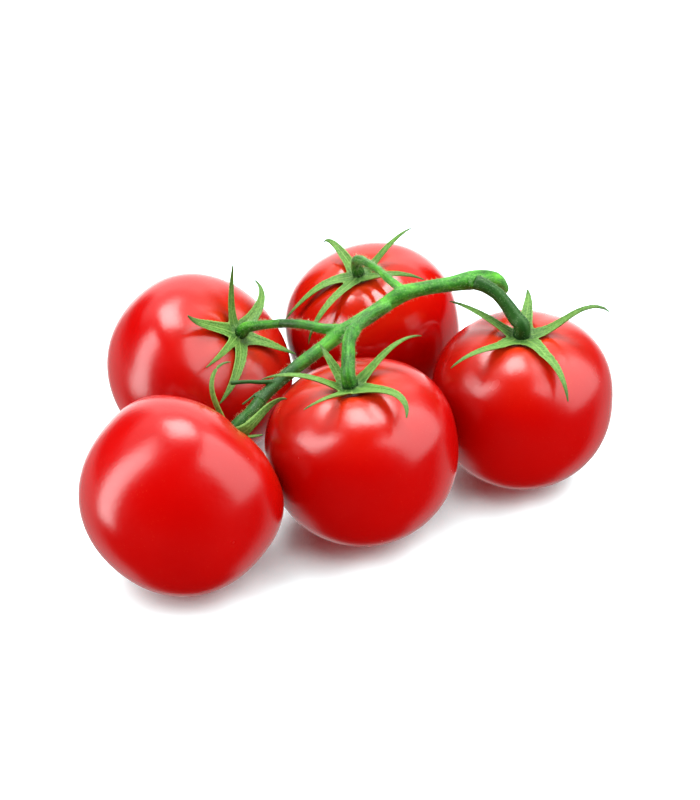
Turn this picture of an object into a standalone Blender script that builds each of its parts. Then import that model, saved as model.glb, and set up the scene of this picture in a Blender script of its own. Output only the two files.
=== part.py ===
"""A truss of five ripe tomatoes, as picked, lying on a flat surface.

Units are metres, with +Z up and the surface at z = 0. The origin is under the middle of the
truss, whose longest side runs along X. Each fruit has its own axes: local Z is its stem axis.

Run it with: blender --background --python part.py
"""

import math
from collections import namedtuple

import bmesh
import bpy
from mathutils import Matrix, Vector

MM = 0.001
GAP = 0.3 * MM  # kept between neighbouring pieces

# ---------------------------------------------------------------- fruit

FRUIT_SIDES = 40
FRUIT_RINGS = 22
POLE_ANGLE = 3.0  # degrees from the axis to the first and last ring
SHOULDER_POWER = 2.5  # squareness of the profile above the widest girth: 2 is an ellipse
BASE_POWER = 2.15  # the same below it
DISH_DEPTH = 0.11  # the hollow round the stem, as shares of the fruit's radius
DISH_WIDTH = 0.20
FURROW_CENTRE = 32.0  # degrees from the stem axis where a shoulder furrow is deepest
FURROW_REACH = 20.0
FURROW_WIDTH = 15.0
REST_DEPTH = 0.25 * MM  # how far its own weight flattens a fruit where it rests

# ---------------------------------------------------------------- calyx

HUB_HEIGHT = 2.0 * MM  # from the bottom of the dish to the middle of the calyx disc
HUB_RADIUS = 4.4 * MM
HUB_FOOT_RADIUS = 3.2 * MM
HUB_THICKNESS = 1.2 * MM
HUB_SIDES = 20
SEPAL_START = 3.2 * MM  # from the stem axis, inside the disc
SEPAL_THICKNESS = 0.9 * MM
SEPAL_TIP_THICKNESS = 0.5 * MM
SEPAL_TIP_WIDTH = 0.12  # share of the width at the root
SEPAL_SECTIONS = 10
SEPAL_CLEARANCE = 0.9 * MM  # from the skin to a sepal's middle
TAPER_POWER = 1.6

# ---------------------------------------------------------------- stalk

STALK_SIDES = 12
STALK_STEP = 2.2 * MM
TWIG_SIDES = 8
TWIG_STEP = 2.5 * MM
KNUCKLE_SWELLING = 0.22  # extra radius at the joint where a fruit is picked
KNUCKLE_REACH = 1.8 * MM
SEAT_APPROACH = 4.5 * MM  # the last stretch of a pedicel, straight along the fruit's axis
SEAT_NECK = 1.6 * MM

# Sepal: azimuth about the stem axis, length in mm, and in degrees the rise from the disc's plane
# at its root, the curl gained by its tip, the sideways swing of its tip, and an arch at half length.
Sepal = namedtuple("Sepal", "azimuth length rise curl swing width arch", defaults=(4.0, 0.0))

# Fruit: place on the surface and radius in mm, the heights above and below the widest girth as
# shares of the radius, the stem axis's tilt from upright and its compass direction in degrees,
# the furrows as (azimuth, depth as a share of the radius), and the seat's radius in mm.
Fruit = namedtuple("Fruit", "x y radius top bottom tilt heading furrows seat sepals")

FRUITS = {
    "front_left": Fruit(
        -57.5, -52.5, 33.7, 0.81, 1.01, 60, 45,
        ((-150, 0.018), (-75, 0.024), (-10, 0.015), (60, 0.018), (130, 0.02)),
        2.5,
        (
            Sepal(-145, 27, 25, 120, -5, 3.4, -15),
            Sepal(-45, 23, 35, -35, 0, 4.0, 60),
            Sepal(30, 9, 50, 0, 0, 3.4),
            Sepal(100, 22, 10, -35, 0),
            Sepal(165, 20, 5, -45, 0),
        ),
    ),
    "front_middle": Fruit(
        1.8, -26.0, 33.1, 0.80, 1.02, 9, -178,
        ((-120, 0.03), (-60, 0.024), (10, 0.015), (80, 0.012), (155, 0.022)),
        2.8,
        (
            Sepal(-170, 29, 40, -45, 10, 3.4),
            Sepal(-115, 27, 25, -20, -15, 3.0, 5),
            Sepal(-40, 36, 15, -25, -60, 4.6, 5),
            Sepal(35, 29, 20, -50, -10, 3.6, 15),
            Sepal(125, 17, 30, -15, -10, 3.8, 15),
        ),
    ),
    "right": Fruit(
        59.2, 6.9, 32.4, 0.85, 1.0, 4, -140,
        ((-132, 0.032), (-70, 0.024), (0, 0.014), (60, 0.02), (140, 0.024)),
        3.1,
        (
            Sepal(160, 26, 30, -35, -10, 3.8, 5),
            Sepal(75, 20, 25, -35, 20, 4.6, 5),
            Sepal(5, 33, 5, -15, -60, 4.2, 40),
            Sepal(-60, 33, 0, -50, -25, 4.4, 10),
            Sepal(-140, 31, 5, -25, 0, 3.8, 15),
        ),
    ),
    "back_middle": Fruit(
        6.3, 54.0, 32.8, 0.84, 0.98, 15, -140,
        ((-175, 0.03), (-100, 0.02), (-35, 0.015), (35, 0.028), (115, 0.018)),
        2.3,
        (
            Sepal(120, 22, 20, -75, 15, 3.8, 20),
            Sepal(25, 24, 30, -45, 15, 3.3, 10),
            Sepal(-160, 30, 25, -55, 15, 4.2, -25),
            Sepal(-120, 35, 15, -90, -25, 3.3, 5),
            Sepal(-40, 30, 25, -45, 15, 3.4, 10),
        ),
    ),
    "back_left": Fruit(
        -55.8, 24.5, 34.6, 0.69, 0.95, 42, -21,
        ((-140, 0.02), (-80, 0.018), (-20, 0.012), (45, 0.018), (110, 0.02), (175, 0.016)),
        2.4,
        (
            Sepal(135, 24, 25, 25, 5, 3.6, 15),
            Sepal(65, 28, 20, -55, 50, 4.4),
            Sepal(-160, 26, 20, 15, 0, 5.0, -15),
            Sepal(-120, 29, 20, -20, -5, 3.0, -5),
            Sepal(-90, 28, 10, -45, -20, 4.6, -10),
            Sepal(0, 20, 20, -15, 0, 4.4, -5),
        ),
    ),
}

# Routes are knots of (x, y, z, radius) in mm. A route that feeds a fruit ends at the fruit's
# seat, which stem_seat() works out, so its last knots aren't listed.
MAIN_ROUTE = (
    (53.5, 29.0, 62.5, 2.3),  # the end that was cut from the plant
    (50.0, 26.5, 67.8, 2.6),
    (46.0, 23.0, 71.8, 2.7),
    (40.0, 19.0, 73.6, 3.4),  # fork of the right fruit
    (33.0, 16.5, 73.4, 2.7),
    (23.0, 13.5, 73.3, 2.5),
    (16.0, 11.0, 72.6, 2.9),  # fork of the back middle fruit
    (10.0, 9.0, 69.4, 2.7),
    (4.5, 7.0, 66.2, 2.7),  # fork of the front middle fruit
    (-6.0, 2.0, 61.6, 2.8),  # fork of the back left fruit
    (-11.0, -2.0, 59.4, 2.4),
    (-21.0, -10.0, 55.6, 2.3),
    (-30.0, -18.5, 51.6, 2.1),
    (-36.0, -27.5, 49.0, 2.0),
)
BRANCH_ROUTES = {
    "front_middle": (
        (9.0, 8.5, 68.6, 1.8),
        (3.5, 3.5, 67.8, 2.1),
        (-0.5, -3.5, 68.0, 2.0),
        (-2.4, -12.0, 68.2, 1.9),
        (-2.8, -20.0, 66.8, 2.0),
    ),
    "right": (
        (37.0, 19.0, 73.4, 2.0),
        (43.5, 16.5, 73.8, 2.1),
        (49.0, 13.0, 71.8, 2.0),
        (52.8, 10.0, 68.2, 2.1),
        (55.8, 7.6, 64.6, 2.4),
    ),
    "back_middle": (
        (18.0, 10.5, 72.8, 1.6),
        (11.8, 18.0, 74.0, 1.5),
        (8.4, 26.0, 73.0, 1.3),
        (5.0, 34.0, 71.0, 1.4),
        (2.2, 41.5, 68.4, 1.6),
        (0.5, 46.6, 65.4, 2.0),
    ),
    "back_left": (
        (-2.0, 3.5, 62.8, 2.0),
        (-11.0, 3.5, 63.0, 1.8),
        (-18.0, 6.0, 63.2, 1.6),
        (-25.0, 10.0, 61.2, 1.5),
        (-32.0, 14.0, 58.2, 1.6),
    ),
}
# From the fruit's seat back to the knuckle, where the pedicel parts from the main stalk.
PEDICEL_LENGTHS = {
    "front_left": 17.0 * MM,
    "front_middle": 24.0 * MM,
    "right": 22.0 * MM,
    "back_middle": 13.0 * MM,
    "back_left": 20.0 * MM,
}
# Shoots that carried no fruit: a short dry one and a thin drooping one.
TWIG_ROUTES = (
    (
        (-25.5, -15.0, 53.5, 0.9),
        (-32.0, -18.0, 55.0, 0.8),
        (-37.0, -19.0, 55.8, 0.7),
        (-42.8, -20.5, 56.3, 0.8),
    ),
    (
        (-28.5, -17.0, 52.3, 0.6),
        (-33.5, -20.5, 52.4, 0.45),
        (-36.5, -24.0, 51.8, 0.4),
        (-38.6, -27.5, 52.2, 0.35),
    ),
)

SKIN_RED = (0.62, 0.012, 0.008)
STALK_GREEN = (0.10, 0.33, 0.05)
CALYX_GREEN = (0.16, 0.42, 0.07)


def clear_scene():
    for obj in list(bpy.data.objects):
        bpy.data.objects.remove(obj, do_unlink=True)


def make_material(name, colour, roughness):
    material = bpy.data.materials.new(name)
    material.use_nodes = True
    shader = material.node_tree.nodes["Principled BSDF"]
    shader.inputs["Base Color"].default_value = (*colour, 1.0)
    shader.inputs["Roughness"].default_value = roughness
    shader.inputs["Metallic"].default_value = 0.0
    material.diffuse_color = (*colour, 1.0)
    return material


def add_object(name, mesh, material=None, parent=None):
    obj = bpy.data.objects.new(name, mesh)
    bpy.context.collection.objects.link(obj)
    if material:
        obj.data.materials.append(material)
    obj.parent = parent
    return obj


def loft(name, rings):
    """A closed mesh through rings of equally many points, with a face across each end."""
    shape = bmesh.new()
    loops = [[shape.verts.new(point) for point in ring] for ring in rings]
    sides = len(loops[0])
    for low, high in zip(loops, loops[1:]):
        for i in range(sides):
            j = (i + 1) % sides
            shape.faces.new((low[i], low[j], high[j], high[i]))
    shape.faces.new(loops[0])
    shape.faces.new(loops[-1])
    bmesh.ops.recalc_face_normals(shape, faces=shape.faces)
    for face in shape.faces:
        face.smooth = len(face.verts) == 4
    mesh = bpy.data.meshes.new(name)
    shape.to_mesh(mesh)
    shape.free()
    return mesh


def join(obj, meshes):
    """Unites the object with each mesh, one exact Boolean at a time."""
    for mesh in meshes:
        helper = add_object(obj.name + "_joined", mesh)
        helper.matrix_world = obj.matrix_world
        union = obj.modifiers.new("join", "BOOLEAN")
        union.operation = "UNION"
        union.solver = "EXACT"
        union.object = helper
        bpy.context.view_layer.update()
        evaluated = obj.evaluated_get(bpy.context.evaluated_depsgraph_get())
        joined = bpy.data.meshes.new_from_object(evaluated)
        obj.modifiers.remove(union)
        obj.data = joined
        bpy.data.objects.remove(helper)
    return obj


# ---------------------------------------------------------------- fruit


def stem_axis(fruit):
    tilt = math.radians(fruit.tilt)
    heading = math.radians(fruit.heading)
    flat = math.sin(tilt)
    return Vector((flat * math.cos(heading), flat * math.sin(heading), math.cos(tilt)))


def fruit_turn(fruit):
    """The rotation from the fruit's own axes, with local X as near world X as it can be."""
    up = stem_axis(fruit)
    side = (Vector((1, 0, 0)) - up * up.x).normalized()
    return Matrix((side, up.cross(side), up)).transposed()


def angle_apart(a, b):
    return (a - b + 180.0) % 360.0 - 180.0


def skin_radius(fruit, polar, azimuth):
    """Distance from the fruit's centre to its skin, in metres, before the dish is pressed in."""
    power = SHOULDER_POWER if polar < 90 else BASE_POWER
    height = fruit.top if polar < 90 else fruit.bottom
    across = math.sin(math.radians(polar))
    along = abs(math.cos(math.radians(polar))) / height
    radius = (across**power + along**power) ** (-1 / power)
    near_shoulder = math.exp(-(((polar - FURROW_CENTRE) / FURROW_REACH) ** 2))
    for where, depth in fruit.furrows:
        aside = angle_apart(azimuth, where) / FURROW_WIDTH
        radius *= 1 - depth * near_shoulder * math.exp(-(aside**2))
    return radius * fruit.radius * MM


def skin_point(fruit, polar, azimuth):
    """A point of the skin in the fruit's own axes."""
    radius = skin_radius(fruit, polar, azimuth)
    reach = radius * math.sin(math.radians(polar))
    height = radius * math.cos(math.radians(polar))
    if polar < 90:
        share = reach / (fruit.radius * MM * DISH_WIDTH)
        height -= DISH_DEPTH * fruit.radius * MM * math.exp(-(share**2))
    turn = math.radians(azimuth)
    return Vector((reach * math.cos(turn), reach * math.sin(turn), height))


def fruit_rings(fruit):
    rings = []
    for i in range(FRUIT_RINGS):
        share = i / (FRUIT_RINGS - 1)
        polar = POLE_ANGLE + (180 - 2 * POLE_ANGLE) * share
        rings.append(
            [skin_point(fruit, polar, 360 * j / FRUIT_SIDES) for j in range(FRUIT_SIDES)]
        )
    return rings


def flatten_base(obj):
    """Cuts the fruit level with the surface it rests on."""
    inverse = obj.matrix_world.inverted()
    shape = bmesh.new()
    shape.from_mesh(obj.data)
    cut = bmesh.ops.bisect_plane(
        shape,
        geom=shape.verts[:] + shape.edges[:] + shape.faces[:],
        plane_co=inverse @ Vector((0, 0, 0)),
        plane_no=inverse.to_3x3() @ Vector((0, 0, -1)),
        clear_outer=True,
    )
    rim = [item for item in cut["geom_cut"] if isinstance(item, bmesh.types.BMEdge)]
    bmesh.ops.edgeloop_fill(shape, edges=rim)
    bmesh.ops.recalc_face_normals(shape, faces=shape.faces)
    shape.to_mesh(obj.data)
    shape.free()


def make_tomato(name, fruit, material, truss):
    obj = add_object("tomato_" + name, loft(name, fruit_rings(fruit)), material, truss)
    turn = fruit_turn(fruit)
    lowest = min((turn @ vertex.co).z for vertex in obj.data.vertices)
    place = Vector((fruit.x * MM, fruit.y * MM, -lowest - REST_DEPTH))
    obj.matrix_world = Matrix.Translation(place) @ turn.to_4x4()
    bpy.context.view_layer.update()
    flatten_base(obj)
    return obj


# ---------------------------------------------------------------- calyx


def hub_centre(fruit):
    """Middle of the calyx disc, in the fruit's own axes."""
    return Vector((0, 0, (fruit.top - DISH_DEPTH) * fruit.radius * MM + HUB_HEIGHT))


def hub_mesh(fruit):
    centre = hub_centre(fruit)
    rings = []
    for side, radius in ((-0.5, HUB_FOOT_RADIUS), (0.0, HUB_RADIUS), (0.5, HUB_RADIUS)):
        ring = []
        for i in range(HUB_SIDES):
            turn = 2 * math.pi * i / HUB_SIDES
            rim = Vector((math.cos(turn), math.sin(turn), 0)) * radius
            ring.append(centre + rim + Vector((0, 0, side * HUB_THICKNESS)))
        rings.append(ring)
    return loft("hub", rings)


def clear_of_skin(fruit, point):
    """The point, moved out from the fruit's centre until it is clear of the skin."""
    polar = math.degrees(point.angle(Vector((0, 0, 1))))
    azimuth = math.degrees(math.atan2(point.y, point.x))
    least = skin_point(fruit, polar, azimuth).length + SEPAL_CLEARANCE
    return point * max(1.0, least / point.length)


def sepal_path(fruit, sepal):
    """The sepal's middle line from its root to its tip, in the fruit's own axes."""
    start = math.radians(sepal.azimuth)
    out = Vector((math.cos(start), math.sin(start), 0))
    point = hub_centre(fruit) + out * SEPAL_START
    path = [point]
    step = sepal.length * MM / (SEPAL_SECTIONS - 1)
    for i in range(SEPAL_SECTIONS - 1):
        share = (i + 0.5) / (SEPAL_SECTIONS - 1)
        heading = math.radians(sepal.azimuth + sepal.swing * share**2)
        bow = sepal.arch * math.sin(math.pi * share)
        pitch = math.radians(sepal.rise + bow + sepal.curl * share**2)
        along = Vector((math.cos(heading), math.sin(heading), 0)) * math.cos(pitch)
        point = point + (along + Vector((0, 0, math.sin(pitch)))) * step
        path.append(point)
    return path[:1] + [clear_of_skin(fruit, point) for point in path[1:]]


def tangents(path):
    """Unit directions along a path, one for each of its points."""
    spans = list(zip(path[:1] + path[:-1], path[1:] + path[-1:]))
    return [(after - before).normalized() for before, after in spans]


def sepal_mesh(fruit, sepal):
    """A blade of lens-shaped sections that tapers to its tip."""
    path = sepal_path(fruit, sepal)
    rings = []
    for i, (point, along) in enumerate(zip(path, tangents(path))):
        share = i / (SEPAL_SECTIONS - 1)
        side = Vector((0, 0, 1)).cross(along).normalized()
        face = along.cross(side)
        narrowing = 1 - (1 - SEPAL_TIP_WIDTH) * share**TAPER_POWER
        half = side * (sepal.width * MM * narrowing / 2)
        thickness = SEPAL_THICKNESS + (SEPAL_TIP_THICKNESS - SEPAL_THICKNESS) * share
        deep = face * (thickness / 2)
        rings.append(
            [
                point + half,
                point + half * 0.5 + deep,
                point - half * 0.5 + deep,
                point - half,
                point - half * 0.5 - deep,
                point + half * 0.5 - deep,
            ]
        )
    return loft("sepal", rings)


def make_calyx(name, fruit, tomato, material, truss):
    obj = add_object("calyx_" + name, hub_mesh(fruit), material, truss)
    obj.matrix_world = tomato.matrix_world
    bpy.context.view_layer.update()
    join(obj, [sepal_mesh(fruit, sepal) for sepal in fruit.sepals])
    return obj


# ---------------------------------------------------------------- stalk


def curve_point(before, start, end, after, share):
    """A Catmull-Rom curve between two knots, on all four values of a knot."""
    bend = 2 * before - 5 * start + 4 * end - after
    twist = 3 * start - before - 3 * end + after
    return start + ((end - before) * share + bend * share**2 + twist * share**3) / 2


def smooth_route(knots):
    """Closely spaced stations of a smooth curve through the knots, as (x, y, z, radius)."""
    ends = [2 * knots[0] - knots[1], *knots, 2 * knots[-1] - knots[-2]]
    stations = []
    fine = 24
    for i in range(len(knots) - 1):
        stations += [curve_point(*ends[i : i + 4], j / fine) for j in range(fine)]
    return stations + [knots[-1]]


def lengths_along(stations):
    total = 0.0
    lengths = [0.0]
    for a, b in zip(stations, stations[1:]):
        total += (b.to_3d() - a.to_3d()).length
        lengths.append(total)
    return lengths


def station_at(stations, lengths, where):
    for i in range(len(lengths) - 1):
        if lengths[i + 1] >= where:
            share = (where - lengths[i]) / (lengths[i + 1] - lengths[i])
            return stations[i].lerp(stations[i + 1], share)
    return stations[-1]


def stretch(stations, start, end, step):
    """Evenly spaced stations from one length along a route to another."""
    lengths = lengths_along(stations)
    count = max(2, round((end - start) / step))
    return [
        station_at(stations, lengths, start + (end - start) * i / count)
        for i in range(count + 1)
    ]


def tube_mesh(stations, sides):
    """A tube with a flat face across each end, turned along its path without twisting."""
    path = [station.to_3d() for station in stations]
    directions = tangents(path)
    across = directions[0].orthogonal().normalized()
    rings = []
    for point, along, station in zip(path, directions, stations):
        across = (across - along * across.dot(along)).normalized()
        other = along.cross(across)
        ring = []
        for i in range(sides):
            turn = 2 * math.pi * i / sides
            ring.append(point + (across * math.cos(turn) + other * math.sin(turn)) * station.w)
        rings.append(ring)
    return loft("tube", rings)


def in_metres(knots):
    return [Vector(knot) * MM for knot in knots]


def stem_seat(fruit, tomato):
    """The knots where a pedicel comes down on the calyx disc, its end face flat above it."""
    floor = hub_centre(fruit).z + HUB_THICKNESS / 2 + GAP
    seat = fruit.seat * MM
    knots = []
    for height, radius in ((SEAT_APPROACH, 0.86 * seat), (SEAT_NECK, seat), (0.0, seat)):
        point = tomato.matrix_world @ Vector((0, 0, floor + height))
        knots.append(Vector((*point, radius)))
    return knots


def swell_at(stations, where):
    """Thickens the route at the knuckle, where the fruit would be picked."""
    lengths = lengths_along(stations)
    swollen = []
    for station, length in zip(stations, lengths):
        near = math.exp(-(((length - where) / KNUCKLE_REACH) ** 2))
        swollen.append(Vector((*station.to_3d(), station.w * (1 + KNUCKLE_SWELLING * near))))
    return swollen


def split_route(knots, pedicel_length):
    """The stations of a route before and after its knuckle, with the gap between them."""
    stations = smooth_route(knots)
    total = lengths_along(stations)[-1]
    knuckle = total - pedicel_length
    stations = swell_at(stations, knuckle)
    stub = stretch(stations, 0.0, knuckle - GAP / 2, STALK_STEP)
    pedicel = stretch(stations, knuckle + GAP / 2, total, STALK_STEP)
    return stub, pedicel


def make_stalk(tomatoes, material, truss):
    """The main stalk with its stubs and shoots, and the five pedicels."""
    routes = {"front_left": MAIN_ROUTE, **BRANCH_ROUTES}
    stubs = {}
    for name, knots in routes.items():
        whole = in_metres(knots) + stem_seat(FRUITS[name], tomatoes[name])
        stubs[name], pedicel = split_route(whole, PEDICEL_LENGTHS[name])
        add_object("pedicel_" + name, tube_mesh(pedicel, STALK_SIDES), material, truss)
    main = add_object("main_stalk", tube_mesh(stubs["front_left"], STALK_SIDES), material, truss)
    branches = [tube_mesh(stubs[name], STALK_SIDES) for name in BRANCH_ROUTES]
    for knots in TWIG_ROUTES:
        stations = smooth_route(in_metres(knots))
        length = lengths_along(stations)[-1]
        branches.append(tube_mesh(stretch(stations, 0.0, length, TWIG_STEP), TWIG_SIDES))
    join(main, branches)


def main():
    clear_scene()
    truss = bpy.data.objects.new("truss", None)
    bpy.context.collection.objects.link(truss)
    skin = make_material("tomato_skin", SKIN_RED, 0.18)
    stalk = make_material("stalk_green", STALK_GREEN, 0.6)
    leaf = make_material("calyx_green", CALYX_GREEN, 0.55)
    tomatoes = {}
    for name, fruit in FRUITS.items():
        tomatoes[name] = make_tomato(name, fruit, skin, truss)
        make_calyx(name, fruit, tomatoes[name], leaf, truss)
    make_stalk(tomatoes, stalk, truss)


main()
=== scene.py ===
"""Looks for a truss of five ripe tomatoes lying on a pale floor.

The fruits, calyxes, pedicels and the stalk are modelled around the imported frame, in metres,
with +Z up. Each fruit has its own axes, whose Z is its stem axis.
"""

import math
import random
from collections import namedtuple

import bmesh
import bpy
import numpy as np
from mathutils import Matrix, Vector


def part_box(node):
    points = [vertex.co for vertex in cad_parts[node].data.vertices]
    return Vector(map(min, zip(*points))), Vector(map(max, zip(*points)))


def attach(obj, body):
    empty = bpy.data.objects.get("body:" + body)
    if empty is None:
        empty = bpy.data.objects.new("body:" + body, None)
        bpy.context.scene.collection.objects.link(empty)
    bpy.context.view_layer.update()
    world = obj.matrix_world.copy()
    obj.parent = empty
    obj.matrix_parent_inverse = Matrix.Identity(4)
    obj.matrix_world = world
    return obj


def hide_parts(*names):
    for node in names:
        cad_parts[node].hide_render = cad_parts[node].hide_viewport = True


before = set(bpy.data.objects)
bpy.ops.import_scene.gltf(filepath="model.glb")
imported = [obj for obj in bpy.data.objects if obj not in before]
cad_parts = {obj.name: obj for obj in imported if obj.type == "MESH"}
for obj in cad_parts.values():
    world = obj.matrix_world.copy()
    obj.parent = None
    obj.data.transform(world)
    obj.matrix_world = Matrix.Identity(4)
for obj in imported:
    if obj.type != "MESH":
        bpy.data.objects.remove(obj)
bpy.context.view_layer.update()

MM = 0.001
ROOT = "root"

# ---------------------------------------------------------------- driving values, as in the CAD

SHOULDER_POWER = 2.5
BASE_POWER = 2.15
DISH_DEPTH = 0.11
DISH_WIDTH = 0.20
FURROW_CENTRE = 32.0
FURROW_REACH = 20.0
FURROW_WIDTH = 15.0
HUB_HEIGHT = 2.0 * MM
HUB_THICKNESS = 1.2 * MM
SEPAL_START = 3.2 * MM
SEPAL_CLEARANCE = 0.9 * MM
SEPAL_TIP_WIDTH = 0.12
TAPER_POWER = 1.6
SEAT_APPROACH = 4.5 * MM
SEAT_NECK = 1.6 * MM
GAP = 0.3 * MM

# Azimuth, rise, curl, swing and arch in degrees, length and width in mm.
Sepal = namedtuple("Sepal", "azimuth length rise curl swing width arch", defaults=(4.0, 0.0))

# Radius and seat in mm, heights as shares of the radius, tilt and heading in degrees.
Fruit = namedtuple("Fruit", "radius top bottom tilt heading furrows seat sepals")

FRUITS = {
    "front_left": Fruit(
        33.7, 0.81, 1.01, 60, 45,
        ((-150, 0.018), (-75, 0.024), (-10, 0.015), (60, 0.018), (130, 0.02)),
        2.5,
        (
            Sepal(-145, 27, 25, 120, -5, 3.4, -15),
            Sepal(-45, 23, 35, -35, 0, 4.0, 60),
            Sepal(30, 9, 50, 0, 0, 3.4),
            Sepal(100, 22, 10, -35, 0),
            Sepal(165, 20, 5, -45, 0),
        ),
    ),
    "front_middle": Fruit(
        33.1, 0.80, 1.02, 9, -178,
        ((-120, 0.03), (-60, 0.024), (10, 0.015), (80, 0.012), (155, 0.022)),
        2.8,
        (
            Sepal(-170, 29, 40, -45, 10, 3.4),
            Sepal(-115, 27, 25, -20, -15, 3.0, 5),
            Sepal(-40, 36, 15, -25, -60, 4.6, 5),
            Sepal(35, 29, 20, -50, -10, 3.6, 15),
            Sepal(125, 17, 30, -15, -10, 3.8, 15),
        ),
    ),
    "right": Fruit(
        32.4, 0.85, 1.0, 4, -140,
        ((-132, 0.032), (-70, 0.024), (0, 0.014), (60, 0.02), (140, 0.024)),
        3.1,
        (
            Sepal(160, 26, 30, -35, -10, 3.8, 5),
            Sepal(75, 20, 25, -35, 20, 4.6, 5),
            Sepal(5, 33, 5, -15, -60, 4.2, 40),
            Sepal(-60, 33, 0, -50, -25, 4.4, 10),
            Sepal(-140, 31, 5, -25, 0, 3.8, 15),
        ),
    ),
    "back_middle": Fruit(
        32.8, 0.84, 0.98, 15, -140,
        ((-175, 0.016), (-100, 0.012), (-35, 0.010), (35, 0.018), (115, 0.012)),
        2.3,
        (
            Sepal(120, 22, 20, -75, 15, 3.8, 20),
            Sepal(25, 24, 30, -45, 15, 3.3, 10),
            Sepal(-160, 30, 25, -55, 15, 4.2, -25),
            Sepal(-120, 35, 15, -90, -25, 3.3, 5),
            Sepal(-40, 30, 25, -45, 15, 3.4, 10),
        ),
    ),
    "back_left": Fruit(
        34.6, 0.69, 0.95, 42, -21,
        ((-140, 0.02), (-80, 0.018), (-20, 0.012), (45, 0.018), (110, 0.02), (175, 0.016)),
        2.4,
        (
            Sepal(135, 24, 25, 25, 5, 3.6, 15),
            Sepal(65, 28, 20, -55, 50, 4.4),
            Sepal(-160, 26, 20, 15, 0, 5.0, -15),
            Sepal(-120, 29, 20, -20, -5, 3.0, -5),
            Sepal(-90, 28, 10, -45, -20, 4.6, -10),
            Sepal(0, 20, 20, -15, 0, 4.4, -5),
        ),
    ),
}

# Routes of the stems, as knots of (x, y, z, radius) in mm.
MAIN_ROUTE = (
    (53.0, 29.0, 62.5, 2.4),
    (50.0, 26.5, 67.8, 3.3),
    (46.0, 23.0, 71.6, 3.2),
    (40.0, 19.0, 73.4, 3.4),
    (33.0, 16.5, 73.4, 2.7),
    (23.0, 13.5, 73.3, 2.5),
    (16.0, 11.0, 72.6, 2.9),
    (10.0, 9.0, 69.4, 2.7),
    (4.5, 7.0, 66.2, 2.7),
    (-6.0, 2.0, 61.6, 2.8),
    (-11.0, -2.0, 59.4, 2.4),
    (-21.0, -10.0, 55.6, 2.3),
    (-30.0, -18.5, 51.6, 2.1),
    (-36.0, -27.5, 49.0, 2.0),
)
BRANCH_ROUTES = {
    "front_middle": (
        (11.5, 6.6, 70.6, 1.7),
        (5.6, 2.6, 70.2, 2.0),
        (0.6, -3.6, 69.2, 2.15),
        (-2.4, -12.0, 68.2, 2.2),
        (-2.8, -20.0, 66.8, 2.3),
    ),
    "right": (
        (37.0, 19.0, 73.4, 2.2),
        (43.2, 15.6, 74.0, 2.4),
        (49.0, 12.6, 71.8, 2.3),
        (52.8, 10.0, 68.2, 2.45),
        (55.8, 7.6, 64.6, 2.75),
    ),
    "back_middle": (
        (18.0, 10.5, 72.8, 1.6),
        (11.8, 18.0, 74.0, 1.5),
        (8.4, 26.0, 73.0, 1.3),
        (5.0, 34.0, 71.0, 1.4),
        (2.2, 41.5, 68.4, 1.6),
        (0.5, 46.6, 65.4, 2.0),
    ),
    "back_left": (
        (-2.0, 3.5, 62.8, 2.0),
        (-11.0, 3.5, 63.0, 1.8),
        (-18.0, 6.0, 63.2, 1.6),
        (-25.0, 10.0, 61.2, 1.5),
        (-32.0, 14.0, 58.2, 1.6),
    ),
}
PEDICEL_LENGTHS = {
    "front_left": 17.0 * MM,
    "front_middle": 24.0 * MM,
    "right": 27.0 * MM,
    "back_middle": 13.0 * MM,
    "back_left": 20.0 * MM,
}
# How far each pedicel goes towards the darkest green: painted shade, darkening the whole pedicel by a
# set share.
PEDICEL_PAINTED_SHADE = {
    "front_left": 0.8,
    "front_middle": 0.2,
    "right": 0.85,
    "back_middle": 0.35,
    "back_left": 0.2,
}
TWIG_ROUTES = (
    (
        (-25.5, -15.0, 53.5, 0.9),
        (-32.0, -18.0, 55.0, 0.8),
        (-37.0, -19.0, 55.8, 0.7),
        (-42.8, -20.5, 56.3, 0.8),
    ),
    (
        (-28.5, -17.0, 52.3, 0.6),
        (-33.5, -20.5, 52.4, 0.45),
        (-36.5, -24.0, 51.8, 0.4),
        (-38.6, -27.5, 52.2, 0.35),
    ),
)

# ---------------------------------------------------------------- finer values of the looks

NOISE_ROUGHNESS = 0.55
FRUIT_SIDES = 160
FRUIT_RINGS = 120
SKIN_UNEVENNESS = 0.003
STEM_COLOUR_REACH = 70.0
KNUCKLE_SWELLING = 0.10
KNUCKLE_REACH = 1.8 * MM
STALK_SIDES = 24
STALK_STEP = 0.9 * MM
STALK_VOXEL = 0.32 * MM
STEM_RIBS = 0.03
TWIG_SIDES = 12
SPAN_STATIONS = 24
FORK_REACH = 5.0 * MM
PEDICEL_SINK = 0.8 * MM
# Painted shade on the main stalk: darker towards its left end, starting this far along minus X and
# fading in over the next length.
STALK_PAINTED_SHADE = 0.9
STALK_SHADE_FROM = 14.0 * MM
STALK_SHADE_FADE = 10.0 * MM
STREAK_SQUEEZE = 60.0
# Painted shade: how far back from its fruit each pedicel is darkened.
SEAT_SHADE_REACH = 2.6 * MM
HAIR_SPACING = 0.055 * MM
HAIR_LENGTHS = (0.6 * MM, 1.6 * MM)
HAIR_RADIUS = 0.035 * MM
HAIR_FACES = [(0, 2, 1), (0, 1, 3), (1, 2, 3), (2, 0, 3)]
CALYX_VOXEL = 0.22 * MM
WEB_REACH = 7.5 * MM
WEB_SMOOTHING = 14
HUB_SIDES = 24
HUB_PROFILE = ((-1.0, 2.6), (-0.4, 4.2), (0.2, 4.5), (0.7, 4.0), (1.0, 2.6))
BLADE_SECTIONS = 36
BLADE_HALF_POINTS = 7
BLADE_SMOOTHING = 3
BLADE_TWIST = 40.0


# ---------------------------------------------------------------- node helpers


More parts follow.
